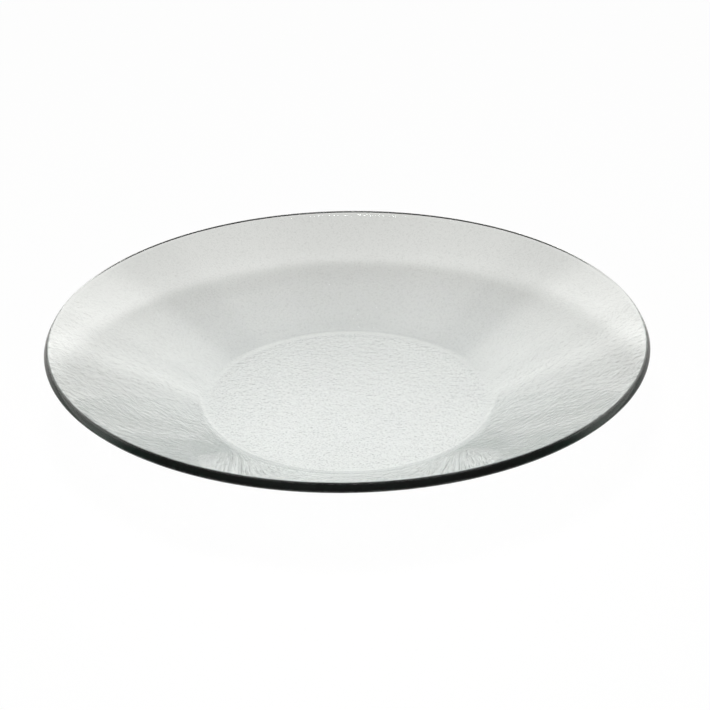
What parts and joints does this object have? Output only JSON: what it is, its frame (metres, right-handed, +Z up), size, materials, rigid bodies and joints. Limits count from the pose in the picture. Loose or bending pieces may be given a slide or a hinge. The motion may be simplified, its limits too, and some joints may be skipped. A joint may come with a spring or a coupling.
{
  "type": "shallow round glass dish",
  "caption": "Shallow round dish of clear green-edged glass, slumped in one piece: flat floor, bend, straight flared wall and polished edge. Holds fruit or serves food.",
  "frame": {"origin": "centre of the flat underside, on the surface that the dish stands on", "axes": "+Z up along the dish's axis of revolution; X and Y are any two directions across the rim"},
  "size_m": [0.35, 0.35, 0.055],
  "materials": {
    "glass": "polished upper face and edge, finely pebbled underside"
  },
  "bodies": {
    "root": {"dish": "glass"}
  },
  "joints": []
}
